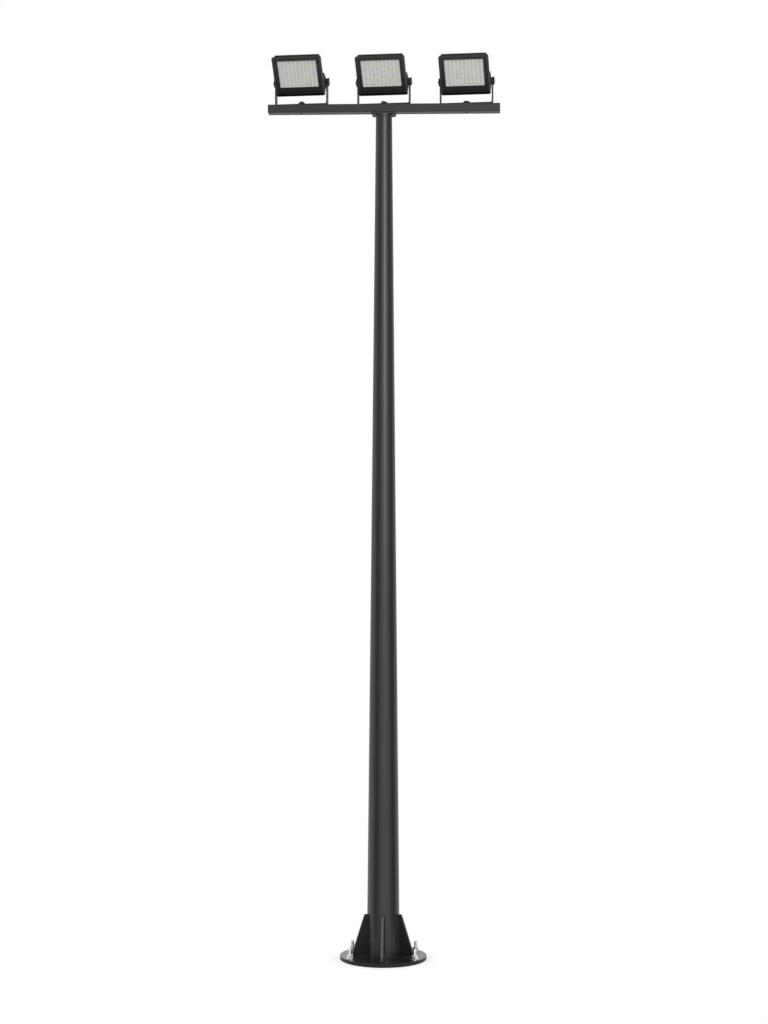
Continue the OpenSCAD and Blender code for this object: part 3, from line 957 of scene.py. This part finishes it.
def lampLights(name, matrix):
    paneLow, paneHigh = localBox(name + "_glass", matrix)
    boardY = localBox(name + "_led_board", matrix)[0].y
    middleZ = (paneLow.z + paneHigh.z) / 2
    wide, tall = lights["package"]
    thick = lights["thick"]
    edge = lights["edge"]
    package = [
        roundedRect(wide, tall, lights["packageCorner"], lights["sink"], 2),
        roundedRect(wide, tall, lights["packageCorner"], -thick * lights["wallShare"], 2),
        roundedRect(wide - edge, tall - edge, lights["edgeCorner"], -thick, 2),
    ]
    wide, tall = lights["pad"]
    corner = tall * lights["padCorner"]
    dome = []
    for share, rise in lights["domeRings"]:
        depth = thick - lights["padSink"] + lights["dome"] * rise
        dome.append(roundedRect(wide * share, tall * share, corner * share, -depth, 3))
    packages = Shape()
    pads = [Shape() for paint in phosphorPaints]
    for column in range(lights["columns"]):
        for row in range(lights["rows"]):
            x = (column - (lights["columns"] - 1) / 2) * lights["pitchX"]
            z = middleZ + (row - (lights["rows"] - 1) / 2) * lights["pitchZ"]
            at = matrix @ Matrix.Translation((x, boardY, z))
            packages.loft(package, at)
            # A fixed rule that scatters the two shades of gel
            batch = (column * 5 + row * 3 + column * row) % 7 % 2
            pads[batch].loft(dome, at, capStart=False)
    lampPiece(packages, name, "lightPackages", "light_board", 30, packagePaint)
    for number, (shape, paint) in enumerate(zip(pads, phosphorPaints), 1):
        lampPiece(shape, name, f"lightPads_{number}", "light_board", 60, paint)


tray = {
    "overlap": 0.002,       # how far it runs out behind the frame
    "slope": 0.0085, "frontCorner": 0.006, "backCorner": 0.004, "frontGap": 0.0004, "backGap": 0.0003,
}


def lampTray(name, matrix):
    # The white sides that slope from the glass back to the board
    front = localBox(name + "_glass", matrix)[1].y + tray["frontGap"]
    back = localBox(name + "_led_board", matrix)[0].y - tray["backGap"]
    edge = frameFront["glassEdge"] - tray["overlap"]
    rings = [
        paneRing(name, matrix, edge, tray["frontCorner"], front),
        paneRing(name, matrix, edge + tray["slope"], tray["backCorner"], back),
    ]
    sides = Shape().loft(rings, matrix, capStart=False, capEnd=False, flip=True)
    lampPiece(sides, name, "lightTray", "light_board", 30, trayPaint)


fins = {
    "tipWidth": 0.0078, "tipDepth": 0.0128, "tipDrop": 0.020, "swellShare": 0.4, "backShare": 0.8,
    "webDrop": 0.003, "webThick": 0.003, "webHeight": 0.014, "webSet": 0.0006, "webSlope": 0.001,
    "edge": 0.0008,
}


def lampFins(name, matrix):
    # Each fin swells towards its upper end, and a thin web joins them there
    low, high = localBox(name + "_heat_sink", matrix)
    sides = sorted({round(point.x, 5) for point in localPoints(name + "_heat_sink", matrix)})
    front = high.y - fins["tipDepth"]
    edge = fins["edge"]
    thick = fins["tipWidth"] / 2
    drops = (fins["tipDrop"], fins["tipDrop"] * fins["swellShare"], edge, 0.0)
    shape = Shape()
    for left, right in zip(sides[::2], sides[1::2]):
        middle = (left + right) / 2
        rings = []
        for half, drop in zip(((right - left) / 2, thick, thick, thick - edge), drops):
            far = half * fins["backShare"]
            corners = ((-half, front), (half, front), (far, high.y), (-far, high.y))
            rings.append([Vector((middle + x, y, high.z - drop)) for x, y in corners])
        shape.loft(rings, matrix)
    top = high.z - fins["webDrop"]
    foot = top - fins["webHeight"]
    slope = fins["webSlope"]
    far = high.y - fins["webSet"]
    near = far - fins["webThick"]
    rings = []
    for inset, z in ((edge, foot), (0.0, foot + slope), (0.0, top - slope), (edge, top)):
        front = near + inset
        back = far - inset
        corners = ((low.x, front), (high.x, front), (high.x, back), (low.x, back))
        rings.append([Vector((x, y, z)) for x, y in corners])
    shape.loft(rings, matrix)
    lampPiece(shape, name, "finTips", "lamp_casting", 30, finPaint)


driver = {
    "lidInset": 0.005, "lidThick": 0.003, "corner": 0.007, "edge": 0.0008,
    "ribs": 5, "ribPitch": 0.013, "ribSink": 0.0003, "ribRise": 0.0016,
    "ribFoot": (0.62, 0.004, 0.0019),       # share of the lid's width, width and corners
    "ribTop": (0.61, 0.0028, 0.0013),
    "screw": (0.0038, 0.0024, 0.0036), "screwInset": 0.009,
}


def lampDriver(name, matrix):
    # The driver box's lid, with its ribs and its screws
    low, high = localBox(name + "_driver_box", matrix)
    middleZ = (low.z + high.z) / 2
    edge = driver["edge"]
    corner = driver["corner"]
    width = high.x - low.x - 2 * driver["lidInset"]
    height = high.z - low.z - 2 * driver["lidInset"]
    face = high.y + driver["lidThick"]
    rings = [
        roundedRect(width, height, corner, high.y),
        roundedRect(width, height, corner, face - edge),
        roundedRect(width - 2 * edge, height - 2 * edge, corner - edge, face),
    ]
    ends = ((driver["ribFoot"], face - driver["ribSink"]), (driver["ribTop"], face + driver["ribRise"]))
    bar = [roundedRect(width * share, tall, ribCorner, y) for (share, tall, ribCorner), y in ends]
    lift = matrix @ Matrix.Translation((0, 0, middleZ))
    lid = Shape().loft(rings, lift, flip=True)
    for rib in range(driver["ribs"]):
        z = (rib - (driver["ribs"] - 1) / 2) * driver["ribPitch"]
        lid.loft(bar, lift @ Matrix.Translation((0, 0, z)), flip=True)
    lampPiece(lid, name, "driverLid", "lamp_casting", 30)
    screws = Shape()
    for sx, sz in diagonals:
        x = sx * (width / 2 - driver["screwInset"])
        z = middleZ + sz * (height / 2 - driver["screwInset"])
        socketScrew(screws, facing(matrix, x, face, z, "back"), *driver["screw"])
    lampPiece(screws, name, "driverScrews", "zinc_bolts", 35)


gland = {
    "hexWidth": 0.025, "hexHeight": 0.006, "neckRadius": 0.0082, "neckHeight": 0.0015,
    "capRadius": 0.0105, "points": 84, "flutes": 14, "fluteDepth": 0.035, "fluteEnd": 0.7,
    "cap": ((0.95, 0.0), (1.0, 0.06), (1.0, 0.55), (0.93, 0.78), (0.74, 0.95), (0.60, 1.0)),
    "plug": 0.0046, "plugSink": 0.0006,
}


def lampGland(name, matrix):
    low, high = localBox(name + "_cable_gland", matrix)
    place = facing(matrix, 0, (low.y + high.y) / 2, high.z, "down")
    length = high.z - low.z
    hexEnd = gland["hexHeight"]
    neck = hexEnd + gland["neckHeight"]
    shape = Shape().loft(hexRings(gland["hexWidth"], 0.0, hexEnd), place)
    shape.loft(lathe([(gland["neckRadius"], hexEnd), (gland["neckRadius"], neck)], 36), place)
    rings = []
    for share, rise in gland["cap"]:
        depth = gland["fluteDepth"] if rise < gland["fluteEnd"] else 0.0

        def capSize(angle):
            flute = depth * max(0.0, math.cos(gland["flutes"] * angle))
            return gland["capRadius"] * (share - flute)

        rings.append(polar(capSize, neck + (length - neck) * rise, gland["points"]))
    rings.append(circle(gland["plug"], length - gland["plugSink"], gland["points"]))
    shape.loft(rings, place)
    lampPiece(shape, name, "glandNut", "black_plastic", 35, stands="cable_gland")


clamp = {
    "teeth": 60, "toothDepth": 0.0007, "headWidth": 0.017,
    "washerRadius": 0.0125, "washerThick": 0.0018, "washerEdge": 0.0003,
    # Share of the disc's radius, share of its thickness, and 1 where its rim is toothed
    "section": (
        (0.97, 0.0, 0), (1.0, 0.10, 1), (1.0, 0.72, 1), (0.95, 0.94, 0), (0.90, 1.0, 0),
        (0.66, 1.0, 0), (0.63, 0.86, 0), (0.46, 0.86, 0), (0.43, 1.0, 0), (0.22, 1.0, 0),
    ),
}


def lampClamps(name, matrix):
    # The toothed discs and bolts that hold the tilt
    points = localPoints(name + "_clamp_discs", matrix)
    inner = min(point.x for point in points if point.x > 0)
    outer = max(point.x for point in points)
    radius = max(point.z for point in points)
    boltEnd = localBox(name + "_pivot_bolts", matrix)[1].x
    rings = []
    for share, rise, toothed in clamp["section"]:
        depth = clamp["toothDepth"] * toothed / 2

        def discSize(angle):
            return radius * share - depth * (1 + math.cos(clamp["teeth"] * angle))

        rings.append(polar(discSize, (outer - inner) * rise, clamp["teeth"] * 4))
    washer = washerRings(clamp["washerRadius"], clamp["washerThick"], clamp["washerEdge"])
    head = hexRings(clamp["headWidth"], clamp["washerThick"], boltEnd - outer)
    discs = Shape()
    bolts = Shape()
    for side, way in ((1, "right"), (-1, "left")):
        discs.loft(rings, facing(matrix, side * inner, 0, 0, way))
        face = facing(matrix, side * outer, 0, 0, way)
        bolts.loft(washer, face)
        bolts.loft(head, face)
    lampPiece(discs, name, "clampDiscs", "black_paint", 30, stands="clamp_discs")
    lampPiece(bolts, name, "pivotBolts", "zinc_bolts", 30, stands="pivot_bolts")


lampParts = (lampCasting, lampFrame, lampLights, lampTray, lampFins, lampDriver, lampGland, lampClamps)
for name in places:
    for makePart in lampParts:
        makePart(name, lampMatrix(name))
    print("floodlight made:", name)


# How wide a bevel each node of the CAD gets
softEdge = {
    "base_plate": 0.0015, "top_flange": 0.001, "crossbar": 0.0006, "end_cap_left": 0.0015,
    "end_cap_right": 0.0015, "swivel_cups": 0.001,
}
softEdge.update({name: 0.001 for name in gussetNames})
softEdge.update({name + "_bracket": 0.0008 for name in places})
softEdge.update({name + "_driver_box": 0.002 for name in places})
soft = {
    "WELD": {"merge_threshold": 0.00001},
    # Flat faces become one face each, so that the bevel leaves no slivers
    "DECIMATE": {"decimate_type": "DISSOLVE", "angle_limit": math.radians(0.5)},
    "BEVEL": {"segments": 2, "limit_method": "ANGLE", "angle_limit": math.radians(40)},
    "WEIGHTED_NORMAL": {"mode": "FACE_AREA", "weight": 90, "keep_sharp": True},
}


def soften(node, width):
    for kind, settings in soft.items():
        modifier = node.modifiers.new(kind, kind)
        for key, value in settings.items():
            setattr(modifier, key, value)
    node.modifiers["BEVEL"].width = width


for name, width in softEdge.items():
    soften(nodes[name], width)
print("edges softened:", len(softEdge))


view = {
    "distance": 14.281, "height": 3.138, "turn": 2.5, "roll": 0.05,
    "lens": 71.41, "sensor": 36, "shift": 0.00035, "clipEnd": 200,
}


def makeCamera():
    data = bpy.data.cameras.new("camera")
    data.lens = view["lens"]
    data.sensor_width = view["sensor"]
    data.shift_x = view["shift"]
    data.clip_end = view["clipEnd"]
    camera = newObject("camera", data)
    turn = math.radians(view["turn"])
    distance = view["distance"]
    camera.location = (distance * math.sin(turn), -distance * math.cos(turn), view["height"])
    level = Matrix.Rotation(turn, 4, "Z") @ Matrix.Rotation(math.pi / 2, 4, "X")
    roll = Matrix.Rotation(math.radians(view["roll"]), 4, "Z")
    camera.rotation_euler = (level @ roll).to_euler()
    scene.camera = camera


# The fill is left out of reflections, which would show it as a second streak up the shaft
studioLights = {
    "keyLight": {
        "place": (3.8, -14.6, 7.6), "target": (0, 0, 4.2), "size": (5.4, 6.8), "power": 900,
        "mirrored": True,
    },
    "fillLight": {
        "place": (-5.0, -11.0, 5.0), "target": (0, 0, 3), "size": (4.0, 5.0), "power": 160,
        "mirrored": False,
    },
}


def makeLight(name, settings):
    data = bpy.data.lights.new(name, "AREA")
    data.shape = "RECTANGLE"
    data.size, data.size_y = settings["size"]
    data.energy = settings["power"]
    light = newObject(name, data)
    light.location = settings["place"]
    way = Vector(settings["target"]) - Vector(settings["place"])
    light.rotation_euler = way.to_track_quat("-Z", "Y").to_euler()
    light.visible_camera = False
    light.visible_glossy = settings["mirrored"]


def seenDirectly(paint):
    # 1 for the rays that show the background
    kinds = ("Is Camera Ray", "Is Glossy Ray", "Is Transmission Ray")
    camera, glossy, through = [paint.add("ShaderNodeLightPath", output=kind) for kind in kinds]
    return camera.calculate("MAXIMUM", glossy).calculate("MAXIMUM", through)


stage = {
    "floorHalf": 60.0, "floorColour": rgb(0.86, 0.86, 0.86), "white": rgb(1, 1, 1),
    "shadow": (0.28, 0.40),     # how far from the mast's middle the floor's shadow fades out
    "shadowShare": 0.32,
    "ambient": 0.52,
}


def stageMesh(paint, corners, faces):
    # A surface of the set, which is no part of the object
    name = paint.owner.name
    mesh = bpy.data.meshes.new(name)
    mesh.from_pydata(corners, [], faces)
    mesh.materials.append(paint.owner)
    panel = newObject(name, mesh)
    return panel


def makeFloor():
    paint = Paint("floor")
    near = 1 - paint.band(paint.distance(paint.where()), *stage["shadow"])
    matt = paint.add("ShaderNodeBsdfDiffuse", values={"Color": stage["floorColour"]})
    white = paint.add("ShaderNodeEmission", values={"Color": stage["white"], "Strength": 1.0})
    shown = seenDirectly(paint) * (1 - near * stage["shadowShare"])
    both = paint.add("ShaderNodeMixShader", values={0: shown, 1: matt, 2: white})
    paint.add("ShaderNodeOutputMaterial", values={"Surface": both})
    half = stage["floorHalf"]
    corners = [(-half, -half, 0), (half, -half, 0), (half, half, 0), (-half, half, 0)]
    stageMesh(paint, corners, [(0, 1, 2, 3)])


def makeWorld():
    world = bpy.data.worlds.new("studio")
    scene.world = world
    paint = Paint("studio", world)
    strength = stage["ambient"] + seenDirectly(paint) * (1 - stage["ambient"])
    back = paint.add("ShaderNodeBackground", values={"Color": stage["white"], "Strength": strength})
    paint.add("ShaderNodeOutputWorld", values={"Surface": back})


flags = {
    "distance": 9.0, "height": 9.0, "lift": 0.02, "colour": rgb(0.01, 0.01, 0.01),
    "near": 0.8,                # where the mat starts, from the mast's middle
    "panels": {"flagLeft": (-50, 7.0), "flagRight": (80, 8.0)},     # angle and width
}


def makeFlag(name, angle, width):
    # A dark panel beside the set, and a mat that leads to it, that only reflections see
    distance = flags["distance"]
    near = flags["near"]
    height = flags["height"]
    turn = math.radians(angle)
    half = width / 2
    nearHalf = half * near / distance
    corners = [(-half, 0, 0), (half, 0, 0), (half, 0, height), (-half, 0, height)]
    corners += [(nearHalf, distance - near, 0), (-nearHalf, distance - near, 0)]
    paint = Paint(name)
    dark = paint.add("ShaderNodeBsdfDiffuse", values={"Color": flags["colour"]})
    paint.add("ShaderNodeOutputMaterial", values={"Surface": dark})
    panel = stageMesh(paint, corners, [(0, 1, 2, 3), (0, 1, 4, 5)])
    panel.location = (distance * math.sin(turn), -distance * math.cos(turn), flags["lift"])
    panel.rotation_euler = (0, 0, turn)
    panel.visible_camera = False
    panel.visible_diffuse = False
    panel.visible_shadow = False


makeCamera()
makeFloor()
makeWorld()
for name, (angle, width) in flags["panels"].items():
    makeFlag(name, angle, width)
for name, settings in studioLights.items():
    makeLight(name, settings)
scene.view_settings.view_transform = "Standard"
print("stage made")
